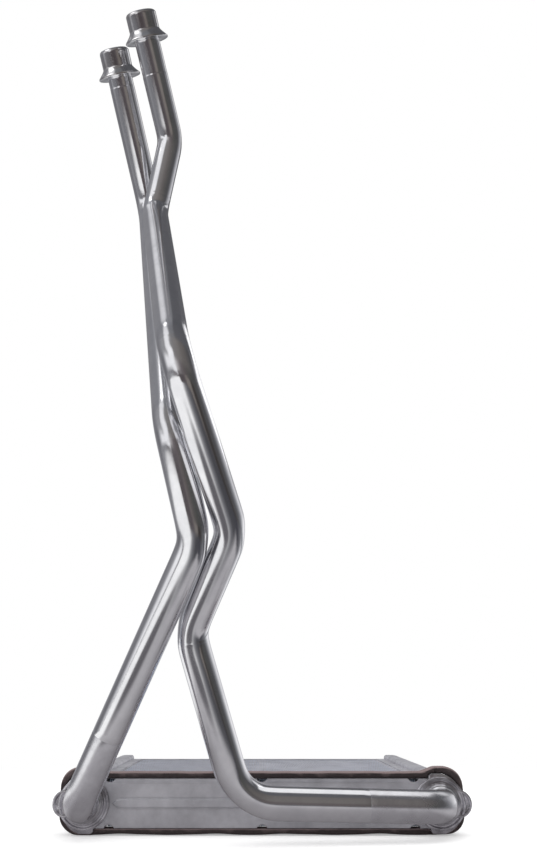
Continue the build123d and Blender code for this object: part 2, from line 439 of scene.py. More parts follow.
# Pressed cap: the press has burnished its edges, and braze has run over it in bright patches.
PRESSED_CAP = AluminiumFinish(
    name="pressed aluminium cap, burnished", bright="#E6E5EA", dull="#A09EA3",
    roughness=(0.08, 0.24), grain=(2.6, 2.6, 2.6), grain_depth=0.03, haze=6.0, wave=0.16,
    bare=0.95)
# Fin strip: thin foil with a soft grey shine.
FIN_FOIL = AluminiumFinish(
    name="folded aluminium foil, satin", bright="#DFE8F8", dull="#CAD2E2",
    roughness=(0.4, 0.6), grain=(1.2, 3.0, 1.2), grain_depth=0.01, haze=24.0, wave=0.02,
    bare=0.5)
# Braze: the filler that ran round a joint and froze with a smooth bright skin.
BRAZE_FILLET = AluminiumFinish(
    name="aluminium braze, frozen", bright="#EDEDF0", dull="#C4C3C6",
    roughness=(0.14, 0.3), grain=(2.2, 2.2, 2.2), grain_depth=0.08, haze=5.0, wave=0.1)


# Studio

@dataclass
class Panel:
    """A soft light panel.

    Attributes:
        name: The panel's name.
        place: Its middle, in metres.
        size: Its width and height, in metres.
        strength: Its radiance, where 1 is the white of the picture.
        mirrored: Whether bare metal mirrors it.
        aim: The point that it faces, in metres.
    """

    name: str
    place: Point
    size: Span
    strength: float
    mirrored: bool = False
    aim: Point = (-0.02, 0.0, 0.25)

    def build(self) -> None:
        """Hang the panel and aim it. Its power is its radiance times four times its area."""
        light = bpy.data.lights.new(self.name, "AREA")
        light.shape = "RECTANGLE"
        light.size, light.size_y = self.size
        light.energy = self.strength * 4 * self.size[0] * self.size[1]
        holder = bpy.data.objects.new(self.name, light)
        holder.location = self.place
        way = Vector(self.aim) - Vector(self.place)
        holder.rotation_euler = way.to_track_quat("-Z", "Y").to_euler()
        holder.visible_camera = False
        holder.visible_glossy = self.mirrored
        bpy.context.scene.collection.objects.link(holder)


@dataclass(frozen=True)
class Bank:
    """A round bank of light in the room that bare metal mirrors.

    Attributes:
        way: The way to its middle.
        half_angle: Its reach about that way, in degrees.
        colour: Its colour.
        soft: Width of its soft border, in degrees.
    """

    way: Point
    half_angle: float
    colour: str
    soft: float = 7.0

    def border(self) -> Span:
        """Give the cosines at which its soft border ends and starts."""
        return cos(radians(self.half_angle + self.soft)), cos(radians(self.half_angle))


# A colour for each bearing, in degrees. Nought is the camera's side and 90 is to its right.
WALL_BEARINGS = [
    (-180, "#B4B4B8"), (-158, "#B5B5B9"), (-138, "#88888C"), (-112, "#6E6E72"), (-98, "#78787C"),
    (-86, "#B0B0B4"), (-74, "#F0F0F2"), (-34, "#FAFAFC"), (-12, "#A8A4A4"), (2, "#6E686A"),
    (20, "#5E5858"), (45, "#50504E"), (66, "#4A4A4A"), (84, "#505052"), (96, "#727276"),
    (108, "#989A9E"), (122, "#DCDCDE"), (140, "#F4F4F6"), (156, "#CCCCD0"), (180, "#B4B4B8")]
UPPER_WALL_BEARINGS = [
    (-180, "#A9ABAF"), (-150, "#8C8C90"), (-130, "#76767A"), (-110, "#88888C"), (-90, "#969699"),
    (-52, "#98989A"), (-25, "#7E7C7C"), (2, "#7A7674"), (25, "#6A6664"), (45, "#625E5C"),
    (60, "#585656"), (84, "#4A4A4C"), (100, "#88888C"), (118, "#BEBEC2"), (130, "#D8D8DA"),
    (150, "#B4B4B8"), (180, "#A9ABAF")]
FAR_FLOOR_BEARINGS = [
    (-180, "#A9ABAF"), (-110, "#909094"), (-76, "#7E7E82"), (-54, "#76767A"), (-40, "#605C60"),
    (-27, "#544E50"), (0, "#524C4E"), (12, "#5E585A"), (22, "#7C7672"), (36, "#7C7672"),
    (46, "#3A3634"), (60, "#403C3B"), (80, "#5A5A5C"), (110, "#8C8E92"), (180, "#A9ABAF")]
TABLE_BEARINGS = [
    (-180, "#A0A0A4"), (-150, "#C4C4C8"), (-120, "#FFFFFF"), (-14, "#FFFFFF"), (-2, "#9A9A9C"),
    (8, "#707074"), (24, "#4C4C50"), (60, "#44444A"), (92, "#76767A"), (108, "#B8B8BC"),
    (130, "#F0F0F2"), (150, "#F0F0F2"), (180, "#A0A0A4")]
CEILING_BEARINGS = [
    (-180, "#78797C"), (-150, "#88888C"), (-90, "#828388"), (-12, "#747578"), (0, "#606064"),
    (12, "#5C5C60"), (120, "#55565A"), (172, "#5C5C60"), (180, "#78797C")]


@dataclass(frozen=True)
class Floor:
    """The pale floor, which fades to plain white far off, and the table that metal mirrors.

    Bare metal mirrors a square of grey close by, with painted shadow before the part's front. Round
    it, the table's colour goes by bearing, with a patch of painted shadow on it before the part, a
    little to its left. Past the table's edge lies the room's floor. Places are in metres, and a
    span gives a start and an end.

    Attributes:
        half: Half the floor's side.
        drop: How far it lies under the part.
        paper: Its colour.
        lift: What the camera sees it shine with.
        fade: Distance over which it fades to white.
        close: Colour close by.
        close_edge: Half side of the square over which that colour ends.
        shade: Colour before the part's front.
        shade_y: Reach of that shade in depth.
        shade_x: Reach of that shade to each side.
        painted_shadow: Colour of the patch of painted shadow on the table.
        painted_shadow_place: Its middle.
        painted_shadow_half: Its half sizes.
        painted_shadow_border: Share of its half sizes over which it ends.
        table_edge: Distance over which the table ends.
        longer_x: Places from left to right over which the table grows shorter.
        longer: How much nearer its edge counts on the left.
    """

    half: float = 1.5
    drop: float = 0.0002
    paper: str = "#F0F0F0"
    lift: str = "#A6A6A6"
    fade: Span = (0.3, 0.6)
    close: str = "#B2B0B3"
    close_edge: Span = (0.17, 0.24)
    # shade: Colour of the painted shadow before the part's front.
    shade: str = "#7A777A"
    shade_y: Span = (-0.12, -0.012)
    shade_x: Span = (0.135, 0.115)
    painted_shadow: str = "#666468"
    painted_shadow_place: Point = (-0.12, -0.235, 0.0)
    painted_shadow_half: Point = (0.105, 0.095, 1.0)
    painted_shadow_border: Span = (1.1, 0.65)
    table_edge: Span = (0.62, 0.66)
    longer_x: Span = (-0.35, -0.1)
    longer: float = 0.6


@dataclass
class Studio:
    """Camera, pale floor, soft panels and the room that bare metal mirrors.

    Attributes:
        eye: The camera's place, in millimetres.
        tilt_up: Its tilt, in degrees.
        focal_px: Its focal length, in the photo's pixels.
        axis_px: Where its axis meets the photo, in pixels from the left.
        ambient: The even light that falls on the part.
        floor: The floor.
        lower: Height of a way over which the room's floor turns to wall, with a length of one.
        upper: The same for the wall's upper part.
        above: The same for the ceiling.
        ceiling_drop: How much lower the ceiling comes at the back, for each step in depth.
        panels: The light panels.
        banks: The banks of light in the room.
    """

    eye: Point = (-7.0, -593.5, 75.8)
    tilt_up: float = 16.2
    focal_px: float = 942.0
    axis_px: float = 250.0
    ambient: float = 0.85
    floor: Floor = Floor()
    lower: Span = (-0.11, -0.06)
    upper: Span = (0.14, 0.3)
    above: Span = (0.55, 0.68)
    ceiling_drop: float = 0.35
    panels: Sequence[Panel] = (
        Panel("window_left", (-1.25, -0.4, 0.7), (1.5, 1.2), 0.4),
        Panel("panel_above", (-0.2, -0.1, 1.6), (1.4, 1.4), 0.4),
        Panel("lamp_over_core", (0.12, 0.05, 0.32), (0.27, 0.25), 0.66, True, (0.12, 0.05, 0.0)),
        Panel("lamp_by_sockets", (-0.275, -0.11, 0.677), (0.11, 0.11), 0.85, True,
              (-0.1, -0.01, 0.53)))
    banks: Sequence[Bank] = (
        Bank((0.57, 0.55, 0.62), 8.0, "#E0E0E2", 6.0),
        Bank((-0.42, 0.35, 0.84), 5.0, "#DCDCDF"),
        Bank((-0.53, -0.05, 0.85), 6.0, "#B8B8BC"),
        Bank((-0.60, -0.30, 0.74), 9.0, "#ECECEE"),
        Bank((-0.70, -0.48, 0.53), 9.0, "#F0F0F2"),
        Bank((-0.60, -0.74, 0.30), 11.0, "#F8F8FA"),
        Bank((-0.52, -0.84, -0.14), 8.0, "#F4F4F6", 5.0))

    def build(self) -> None:
        """Make the camera, the floor, the world and the panels."""
        self.place_camera()
        self.lay_floor()
        self.light_room()
        for panel in self.panels:
            panel.build()
        bpy.context.scene.view_settings.view_transform = "Standard"

    def place_camera(self) -> None:
        """Place the camera. Its shift moves the axis from the frame's middle to the photo's."""
        data = bpy.data.cameras.new("camera")
        data.sensor_width = 36.0
        data.lens = data.sensor_width * self.focal_px / PHOTO_HEIGHT
        data.shift_x = (PHOTO_WIDTH / 2 - self.axis_px) / PHOTO_HEIGHT
        data.clip_start, data.clip_end = 0.02, 50.0
        holder = bpy.data.objects.new("camera", data)
        holder.location = Vector(self.eye) * MM
        holder.rotation_euler = (radians(90 + self.tilt_up), 0.0, 0.0)
        bpy.context.scene.collection.objects.link(holder)
        bpy.context.scene.camera = holder

    @staticmethod
    def by_bearing(tree: bpy.types.NodeTree, part: bpy.types.NodeOutputs,
                   tables: Sequence[list[tuple[int, str]]]) -> list[bpy.types.Node]:
        """Colour a way or a place by its bearing: the angle of x against minus y.

        Args:
            tree: The node tree.
            part: Outputs with the way's or the place's x and y.
            tables: The bearings and colours of each colouring.

        Returns:
            The node that gives each colouring.
        """
        ahead = add_node(tree, "Math", {0: part["Y"], 1: -1.0}, operation="MULTIPLY")
        bearing = add_node(tree, "Math", {0: part["X"], 1: ahead}, operation="ARCTAN2")
        turn = add_node(tree, "MapRange", {"Value": bearing, "From Min": -pi, "From Max": pi})
        return [add_node(tree, "ValToRGB", {"Fac": turn},
                         stops=[(0.5 + angle / 360, colour) for angle, colour in table])
                for table in tables]

    @staticmethod
    def layered(tree: bpy.types.NodeTree, base: Source,
                layers: Sequence[tuple[Source, Optional[Span], Source]]) -> Source:
        """Lay colours over a base, one after another.

        Args:
            tree: The node tree.
            base: The colour at the bottom.
            layers: For each layer a value, the span over which it brings the colour in, and
                the colour. Without a span, the value itself is the colour's share.

        Returns:
            What gives the colour on top.
        """
        for share, span, colour in layers:
            if span:
                share = add_node(tree, "MapRange", {
                    "Value": share, "From Min": span[0], "From Max": span[1]})
            base = add_node(tree, "Mix", {0: share, 6: base, 7: colour}, data_type="RGBA")
        return base

    def lay_floor(self) -> None:
        """Lay the floor, and give glossy rays the table and the room's floor in its place."""
        floor = self.floor
        mesh = bpy.data.meshes.new("floor")
        mesh.from_pydata([(x * floor.half, y * floor.half, -floor.drop)
                          for x, y in ((-1, -1), (1, -1), (1, 1), (-1, 1))], [], [(0, 1, 2, 3)])
        plane = bpy.data.objects.new("floor", mesh)
        bpy.context.scene.collection.objects.link(plane)
        paper = bpy.data.materials.new("pale paper floor")
        mesh.materials.append(paper)
        tree = blank_tree(paper)
        place = add_node(tree, "TexCoord").outputs["Object"]
        part = add_node(tree, "SeparateXYZ", {0: place}).outputs
        off = add_node(tree, "VectorMath", {0: place}, operation="LENGTH")
        # The grey close by is a square, so its half side is the greater of x and y.
        spread = add_node(tree, "VectorMath", {0: place}, operation="ABSOLUTE")
        sides = add_node(tree, "SeparateXYZ", {0: spread}).outputs
        square = add_node(tree, "Math", {0: sides["X"], 1: sides["Y"]}, operation="MAXIMUM")
        # A patch of painted shadow on the mirrored table, before the part and a little to its left.
        painted_shadow = add_node(tree, "Mapping", {
            "Vector": place, "Location": floor.painted_shadow_place, "Scale": floor.painted_shadow_half},
            vector_type="TEXTURE")
        painted_shadow_off = add_node(tree, "VectorMath", {0: painted_shadow}, operation="LENGTH")
        longer = add_node(tree, "MapRange", {
            "Value": part["X"], "From Min": floor.longer_x[0], "From Max": floor.longer_x[1],
            "To Min": floor.longer})
        reach = add_node(tree, "Math", {0: off, 1: longer}, operation="MULTIPLY")
        before, between, far = [
            add_node(tree, "MapRange", {"Value": value, "From Min": start, "From Max": end})
            for value, (start, end) in (
                (part["Y"], floor.shade_y), (sides["X"], floor.shade_x), (off, floor.fade))]
        # Painted shadow on the mirrored table before the part's front, growing darker towards it.
        shaded = add_node(tree, "Math", {0: before, 1: between}, operation="MULTIPLY")
        table, room = self.by_bearing(tree, part, [TABLE_BEARINGS, FAR_FLOOR_BEARINGS])
        mirrored = self.layered(tree, floor.close, [
            (shaded, None, floor.shade), (square, floor.close_edge, table),
            (painted_shadow_off, floor.painted_shadow_border, floor.painted_shadow), (reach, floor.table_edge, room)])
        ray = add_node(tree, "LightPath").outputs
        matt = add_node(tree, "BsdfDiffuse", {"Color": floor.paper})
        lift = add_node(tree, "Emission", {"Color": floor.lift, "Strength": ray["Is Camera Ray"]})
        near_seen = add_node(tree, "AddShader", {0: matt, 1: lift})
        white = add_node(tree, "Emission", {"Color": WHITE})
        far_seen = add_node(tree, "Math", {0: far, 1: ray["Is Camera Ray"]}, operation="MULTIPLY")
        plain = add_node(tree, "MixShader", {0: far_seen, 1: near_seen, 2: white})
        glow = add_node(tree, "Emission", {"Color": mirrored})
        both = add_node(tree, "MixShader", {0: ray["Is Glossy Ray"], 1: plain, 2: glow})
        add_node(tree, "OutputMaterial", {"Surface": both})

    def light_room(self) -> None:
        """Light the scene evenly, white to the camera, with a dim room for metal to mirror.

        The room's colour goes by bearing, once each for its floor, its walls, their upper part
        and its ceiling, which comes down lower at the back. Banks of light stand round about.
        """
        world = bpy.data.worlds.new("room")
        bpy.context.scene.world = world
        tree = blank_tree(world)
        way = add_node(tree, "TexCoord").outputs["Generated"]
        part = add_node(tree, "SeparateXYZ", {0: way}).outputs
        height = add_node(tree, "Math", {0: part["Y"], 1: self.ceiling_drop, 2: part["Z"]},
                          operation="MULTIPLY_ADD")
        room, walls, upper_walls, ceiling = self.by_bearing(tree, part, [
            FAR_FLOOR_BEARINGS, WALL_BEARINGS, UPPER_WALL_BEARINGS, CEILING_BEARINGS])
        layers = [(part["Z"], self.lower, walls), (part["Z"], self.upper, upper_walls),
                  (height, self.above, ceiling)]
        for bank in self.banks:
            toward = add_node(tree, "VectorMath", {
                0: way, 1: tuple(Vector(bank.way).normalized())}, operation="DOT_PRODUCT")
            layers.append((toward, bank.border(), bank.colour))
        seen = self.layered(tree, room, layers)
        ray = add_node(tree, "LightPath").outputs
        shiny = add_node(tree, "Math", {
            0: ray["Is Glossy Ray"], 1: ray["Is Transmission Ray"]}, operation="MAXIMUM")
        shown = self.layered(tree, (self.ambient,) * 3 + (1.0,), [
            (shiny, None, seen), (ray["Is Camera Ray"], None, WHITE)])
        back = add_node(tree, "Background", {"Color": shown})
        add_node(tree, "OutputWorld", {"Surface": back})


# Tubes

@dataclass
class Run:
    """One straight run or one tangent arc of a route. An arc turns towards `inward`."""

    start: np.ndarray
    way: np.ndarray
    length: float
    side_u: np.ndarray
    side_v: np.ndarray
    inward: Optional[np.ndarray] = None
    radius: float = 0.0


@dataclass
class Rings:
    """Centres, cross directions, outward direction and pinch of a tube's rings."""

    centre: np.ndarray
    side_u: np.ndarray
    side_v: np.ndarray
    outward: np.ndarray
    pinch: np.ndarray


def across(way: np.ndarray) -> tuple[np.ndarray, np.ndarray]:
    """Give two directions square to a way and to each other.

    Args:
        way: The way, with a length of one.

    Returns:
        Both directions. The second is the way crossed with the first.
    """
    helper = UP if abs(way[2]) < 0.9 else -FORWARD
    side = unit(np.cross(helper, way))
    return side, np.cross(way, side)


def turned(vector: np.ndarray, axis: np.ndarray, angle: np.ndarray) -> np.ndarray:
    """Turn one vector about a unit axis.

    The turned vector is its own cosine part, plus the sine part of the axis crossed with it,
    plus what it has along the axis times one less the cosine.

    Args:
        vector: The vector.
        axis: The axis.
        angle: Angles to turn it by.

    Returns:
        The vector turned by each angle.
    """
    c, s = np.cos(angle)[:, None], np.sin(angle)[:, None]
    return vector * c + np.cross(axis, vector) * s + axis * (axis @ vector) * (1 - c)


class Route:
    """A bent tube's centreline: straight runs between corners, joined by tangent arcs.

    Attributes:
        pinch_ramp: Length over which a bend's pinch grows, in millimetres.
        full_turn: Turn from which a bend has its whole pinch.
        easing: Length over which a bend starts, in millimetres.
    """

    pinch_ramp = 10.0
    full_turn = radians(42)
    easing = 5.0

    def __init__(self, corners: Sequence[Sequence[float]], radii: Sequence[float]) -> None:
        """Lay the runs out.

        Args:
            corners: Both ends and the corners between them, in millimetres.
            radii: The bend radius at each corner between the ends.
        """
        self.runs: list[Run] = []
        points = [np.asarray(corner, float) for corner in corners]
        at, way = points[0], unit(points[1] - points[0])
        sides = across(way)
        for corner, after, radius in zip(points[1:-1], points[2:], radii):
            next_way = unit(after - corner)
            turn = float(np.arccos(np.clip(way @ next_way, -1, 1)))
            cut = radius * np.tan(turn / 2)
            arc_start = corner - way * cut
            self.runs.append(Run(at, way, float(np.linalg.norm(arc_start - at)), *sides))
            inward = unit(next_way - way * (way @ next_way))
            self.runs.append(Run(arc_start, way, radius * turn, *sides, inward, radius))
            axis = np.cross(way, inward)
            sides = tuple(turned(side, axis, np.array([turn]))[0] for side in sides)
            at, way = corner + next_way * cut, next_way
        self.runs.append(Run(at, way, float(np.linalg.norm(points[-1] - at)), *sides))
        self.length = sum(run.length for run in self.runs)

    def stations(self, straight_step: float, arc_step: float) -> np.ndarray:
        """Choose where along the route rings stand, more closely where bends start and end.

        Args:
            straight_step: Most distance between rings on a straight run.
            arc_step: Most distance between rings on and beside an arc.

        Returns:
            Distances from the route's start, with both ends.
        """
        parts, begin = [np.zeros(1)], 0.0
        for run in self.runs:
            step = straight_step if run.inward is None else arc_step
            count = max(int(np.ceil(run.length / step)), 1)
            parts.append(begin + np.linspace(0, run.length, count + 1)[1:])
            if run.inward is not None:
                reach = np.arange(1, 2 * self.easing / arc_step) * arc_step
                parts += [begin - reach, begin + run.length + reach]
            begin += run.length
        stations = np.concatenate(parts)
        return np.unique(stations[(stations >= 0) & (stations <= self.length)])

    def rings(self, distance: np.ndarray) -> Rings:
        """Work out the rings of sharp tangent arcs.

        On an arc, a ring's centre is its start, plus the radius times the sine of the angle
        along the start's way, plus the radius times one less the cosine along the inward way.

        Args:
            distance: Distances of the rings from the route's start.

        Returns:
            The rings.
        """
        count = len(distance)
        made = Rings(*(np.zeros((count, 3)) for _ in range(4)), np.zeros(count))
        begin = 0.0
        for run in self.runs:
            end = begin + run.length
            here = (distance >= begin - 1e-9) & ((distance < end - 1e-9) | (run is self.runs[-1]))
            along = distance[here] - begin
            if run.inward is None:
                made.centre[here] = run.start + along[:, None] * run.way
                made.side_u[here], made.side_v[here] = run.side_u, run.side_v
            else:
                angle = along / run.radius
                c, s = np.cos(angle)[:, None], np.sin(angle)[:, None]
                axis = np.cross(run.way, run.inward)
                made.centre[here] = run.start + run.radius * (s * run.way + (1 - c) * run.inward)
                made.side_u[here] = turned(run.side_u, axis, angle)
                made.side_v[here] = turned(run.side_v, axis, angle)
                made.outward[here] = s * run.way - c * run.inward
                depth = min(run.length / run.radius / self.full_turn, 1.0)
                near = np.minimum(along, run.length - along)
                made.pinch[here] = depth * smoothstep(near / min(self.pinch_ramp, run.length / 2))
            begin = end
        return made

    def eased_rings(self, distance: np.ndarray) -> Rings:
        """Work out rings whose bends start and end gently, as a bender's die leaves them.

        Each ring is a weighted mean of the rings round it. The weights are an exponential of
        minus the squared step, and the steps shrink to nothing at the route's two ends.

        Args:
            distance: Distances of the rings from the route's start.

        Returns:
            The rings.
        """
        reach = np.minimum(self.easing, np.minimum(distance, self.length - distance) / 2)
        steps = np.linspace(-2, 2, 9)
        weights = np.exp(-steps ** 2) / np.exp(-steps ** 2).sum()
        near = [self.rings(distance + step * reach) for step in steps]
        made = Rings(*(sum(weight * getattr(ring, part.name) for weight, ring in zip(weights, near))
                       for part in fields(Rings)))
        made.side_u, made.side_v = unit(made.side_u), unit(made.side_v)
        return made


@dataclass
class DrawnTube(Piece):
    """A hollow tube along a route, flattened a little on the outside of its bends.

    Attributes:
        route: The centreline.
        swage: Distance from the far end at which the tube narrows. All are in millimetres.
        ridges: Distance from the start, rise and width of each mark that bending left.
        outer: Outside diameter.
        wall: Wall.
        edge: Rounding of its end faces.
        outside_pinch: Share of the radius that the outside of a bend loses.
        inside_pinch: Share of the radius that the inside of a bend loses.
        swage_drop: How much its radius narrows.
        swage_ramp: Length of the narrowing.
        ridge_reach: Widths to each side over which a ridge has rings of its own.
        sides: Points round a ring.
        straight_step: Distance between rings on a straight run.
        arc_step: Distance between rings on an arc.
    """

    route: Route
    swage: float = 0.0
    ridges: Sequence[Point] = ()
    outer: float = 18.0
    wall: float = 1.5
    edge: float = 0.08
    outside_pinch: float = 0.09
    inside_pinch: float = 0.05
    swage_drop: float = 0.12
    swage_ramp: float = 1.2
    ridge_reach: float = 2.5
    sides: int = 80
    straight_step: float = 4.0
    arc_step: float = 0.9
    slot: ClassVar[str] = "drawn_tube"

    def shell(self) -> Shell:
        """Work the tube out as one closed surface: out along the skin, back along the bore.

        Each ring's point at an angle is the centre plus the radius times the cosine along one
        side and the sine along the other. The radius shrinks on a bend by the pinch, times the
        square of how far the point faces out of the bend, or into it. A ridge adds its rise
        times the exponential of minus the square of the distance over its width.

        Returns:
            The surface.
        """
        radius, length = self.outer / 2, self.route.length
        marks = [self.route.stations(self.straight_step, self.arc_step)]
        marks += [place + width * np.linspace(-self.ridge_reach, self.ridge_reach, 15)
                  for place, _, width in self.ridges]
        if self.swage:
            marks.append(length - self.swage + self.swage_ramp * np.linspace(0, 1, 7))
        skin = np.unique(np.round(np.clip(np.concatenate(marks), self.edge,
                                          length - self.edge), 4))
        quarter = np.linspace(0, pi / 2, 4)
        lip = np.stack([self.edge * (1 - np.cos(quarter)),
                        radius - self.edge * (1 - np.sin(quarter))])
        back = self.route.stations(2 * self.straight_step, 3 * self.arc_step)[::-1]
        distance = np.concatenate([lip[0], skin[1:-1], length - lip[0][::-1], back])
        reach = np.concatenate([lip[1], np.full(len(skin) - 2, radius), lip[1][::-1],
                                np.full(len(back), radius - self.wall)])
        for place, rise, width in self.ridges:
            reach = reach + rise * bump(distance, place, width)
        ring = self.route.eased_rings(distance)
        angle = np.arange(self.sides) * 2 * pi / self.sides
        facing = (np.cos(angle)[None, :, None] * ring.side_u[:, None]
                  + np.sin(angle)[None, :, None] * ring.side_v[:, None])
        lean = np.einsum("ijk,ik->ij", facing, ring.outward)
        loss = (self.outside_pinch * np.maximum(lean, 0) ** 2
                + self.inside_pinch * np.maximum(-lean, 0) ** 2)
        size = reach[:, None] * (1 - ring.pinch[:, None] * loss)
        if self.swage:
            past = (distance - (length - self.swage)) / self.swage_ramp
            size -= self.swage_drop * smoothstep(past)[:, None]
        points = ring.centre[:, None] + size[:, :, None] * facing
        faces, corner = grid_faces(len(distance), self.sides, True)
        along = np.append(distance, distance[0])
        uv = np.stack([corner[:, :, 1] * 2 * pi / self.sides * radius, along[corner[:, :, 0]]],
                      axis=-1)
        return Shell(points.reshape(-1, 3), faces, uv)


def turned_shell(profile: np.ndarray, foot: np.ndarray, axis: np.ndarray, sides: int,
                 closed: bool = True) -> Shell:
    """Carry a profile once round an axis.

    A point is the foot, plus its height along the axis, plus its radius times the cosine along
    one direction square to the axis and the sine along the other. An open profile's two ends
    are closed by flat discs.

    Args:
        profile: Radius and height of each profile point.
        foot: Where height is zero on the axis.
        axis: The axis, with a length of one.
        sides: Number of steps round the axis, an even count.
        closed: Whether the profile's last point joins its first.

    Returns:
        The turned surface.
    """
    side_u, side_v = across(axis)
    angle = np.arange(sides) * 2 * pi / sides
    facing = np.cos(angle)[:, None] * side_u + np.sin(angle)[:, None] * side_v
    points = (foot + profile[:, 1, None, None] * axis
              + profile[:, 0, None, None] * facing[None]).reshape(-1, 3)
    faces, corner = grid_faces(len(profile), sides, closed)
    if not closed:
        return Shell(points, np.vstack([faces, end_faces(len(profile), sides)])).outward()
    step = np.linalg.norm(np.diff(np.vstack([profile, profile[:1]]), axis=0), axis=1)
    along = np.concatenate([[0.0], np.cumsum(step)])
    uv = np.stack([corner[:, :, 1] * 2 * pi / sides * profile[:, 0].max(),
                   along[corner[:, :, 0]]], axis=-1)
    return Shell(points, faces, uv).outward()


@dataclass
class Socket(Piece):
    """A turned socket on a pipe's end, with a flared skirt round its foot. Millimetres.

    Attributes:
        foot: Middle of its foot.
        axis: The way to its mouth.
        seat_radius: Radius of the hole that the pipe fills.
        bore_radius: Radius of its bore.
        radius: Outside radius of its cylinder.
        length: Its length.
        shoulder: Rounding towards its mouth.
        seat: Depth of the pipe in it.
        flare_radius: Outside radius of its skirt.
        flare_length: Length of its skirt.
        lip: Height of the skirt's rim.
        flare_power: How hollow the skirt is.
        edge: Rounding of its edges.
        sides: Points round it.
    """

    foot: np.ndarray
    axis: np.ndarray
    seat_radius: float = 9.0
    bore_radius: float = 8.0
    radius: float = 10.75
    length: float = 19.8
    shoulder: float = 2.5
    seat: float = 14.0
    flare_radius: float = 15.2
    flare_length: float = 6.8
    lip: float = 1.1
    flare_power: float = 1.25
    edge: float = 0.3
    sides: int = 96
    slot: ClassVar[str] = "turned_socket"

    def profile(self) -> np.ndarray:
        """Draw the closed profile.

        Over the skirt, the radius falls from the flare to the cylinder by the rest of the way
        up, raised to a power. The shoulder is a quarter circle.

        Returns:
            Radius and height of each point.
        """
        rise = np.linspace(0, 1, 15)[1:]
        skirt = np.stack([self.radius + (self.flare_radius - self.radius)
                          * (1 - rise) ** self.flare_power,
                          self.lip + (self.flare_length - self.lip) * rise], axis=1)
        # Two rings near the cylinder's ends keep it straight between them.
        straight = [(self.radius, self.flare_length + 0.5),
                    (self.radius, self.length - self.shoulder - 0.5)]
        turn = np.linspace(0, pi / 2, 9)
        shoulder = np.stack([self.radius - self.shoulder * (1 - np.cos(turn)),
                             self.length - self.shoulder * (1 - np.sin(turn))], axis=1)
        foot = soften([(self.seat_radius, 0), (self.flare_radius, 0),
                       (self.flare_radius, self.lip), (self.seat_radius, self.lip)], self.edge)
        mouth = [(self.bore_radius + self.edge, self.length),
                 (self.bore_radius, self.length - self.edge), (self.bore_radius, self.seat),
                 (self.seat_radius, self.seat), (self.seat_radius, self.lip)]
        return np.concatenate([foot[2:10], skirt, straight, shoulder, mouth])

    def shell(self) -> Shell:
        """Turn the profile once round the pipe's axis."""
        return turned_shell(self.profile(), self.foot, self.axis, self.sides)


@dataclass
class WaterPipe:
    """One side's elbow, long pipe and socket. Sizes in millimetres.

    Attributes:
        word: The side's name.
        side: Minus one for the left and one for the right.
        reach: How far the elbow stands out before it turns.
        bends: The long pipe's corners.
        mouth: Middle of the socket's mouth.
        radii: Bend radii, the elbow's first.
        swage: Distance from the pipe's free end at which it narrows.
        ridges: Distance along the long pipe, rise and width of each mark that bending left.
        elbow_arm: Length of the elbow past its corner.
    """

    word: str
    side: int
    reach: float
    bends: Sequence[Point]
    mouth: Point
    radii: Sequence[float]
    swage: float
    ridges: Sequence[Point] = ()
    elbow_arm: float = 45.0

    def build(self, tube: bpy.types.Material, elbow_tube: bpy.types.Material,
              turned_end: bpy.types.Material) -> None:
        """Make the three pieces.

        Args:
            tube: The long pipe's material.
            elbow_tube: The elbow's.
            turned_end: The socket's.
        """
        port = np.array([self.side * PORT_X, 0.0, MIDDLE_Z])
        corner = port + FORWARD * self.reach
        joint = corner + unit(np.array(self.bends[0]) - corner) * self.elbow_arm
        mouth = np.array(self.mouth)
        axis = unit(mouth - np.array(self.bends[-1]))
        seat = mouth - axis * (Socket.length - Socket.seat)
        elbow = Route([port, corner, joint], self.radii[:1])
        pipe = Route([joint, *self.bends, seat], self.radii[1:])
        DrawnTube(f"elbow_{self.word}", elbow).build(elbow_tube)
        DrawnTube(f"pipe_{self.word}", pipe, self.swage, self.ridges).build(tube)
        Socket(f"socket_{self.word}", mouth - axis * Socket.length, axis).build(turned_end)


# Core

@dataclass
class FinRow(Piece):
    """One fin strip, folded finely between two flat tubes. Millimetres.

    Attributes:
        middle_y: Where the middle of the strip lies.
        height: Height of its folds, from flat tube to flat tube.
        low_z: Where its under edges lie.
        high_z: Where its upper edges lie.
        half_length: Half its length.
        pitch: Length of one fold.
        gauge: The foil's thickness.
        steps: Points on one fold.
        fold: How sharp the folds are, where nought is a sine and one a zigzag.
        crack_x: Where one fold lies flat.
        crack_reach: How far that flat place reaches, in folds.
    """

    middle_y: float
    height: float = 7.9
    low_z: float = 4.5
    high_z: float = 30.1
    half_length: float = 90.4
    pitch: float = 1.2
    gauge: float = 0.1
    steps: int = 10
    fold: float = 0.96
    crack_x: float = 1.0
    crack_reach: float = 1.1
    slot: ClassVar[str] = "fin_strip"
    smooth: ClassVar[bool] = False

    def shell(self) -> Shell:
        """Work the strip out: its height goes by the arcsine of a share of the sine of x.

        Both skins lie half the gauge off that line, square to it. One fold lies flat, which
        opens a dark line across the core.

        Returns:
            The surface.
        """
        waves = int(2 * self.half_length / self.pitch)
        x = np.linspace(-waves / 2, waves / 2, waves * self.steps + 1)
        sine = self.fold * np.sin(2 * pi * x)
        y = (self.height / 2 - self.gauge) * np.arcsin(sine) / np.arcsin(self.fold)
        x = x * self.pitch
        y *= 1 - np.exp(-((x - self.crack_x) / (self.crack_reach * self.pitch)) ** 4)
        way = unit(np.stack([np.gradient(x), np.gradient(y)], axis=1))
        off = np.stack([-way[:, 1], way[:, 0]], axis=1) * self.gauge / 2
        line = np.stack([x, y + self.middle_y], axis=1)
        section = ((off, self.low_z), (off, self.high_z), (-off, self.high_z), (-off, self.low_z))
        points = np.stack([np.column_stack([line + side, np.full(len(x), z)])
                           for side, z in section], axis=1)
        faces, _ = grid_faces(len(x), 4, False)
        return Shell(points.reshape(-1, 3), np.vstack([faces, end_faces(len(x), 4)]))


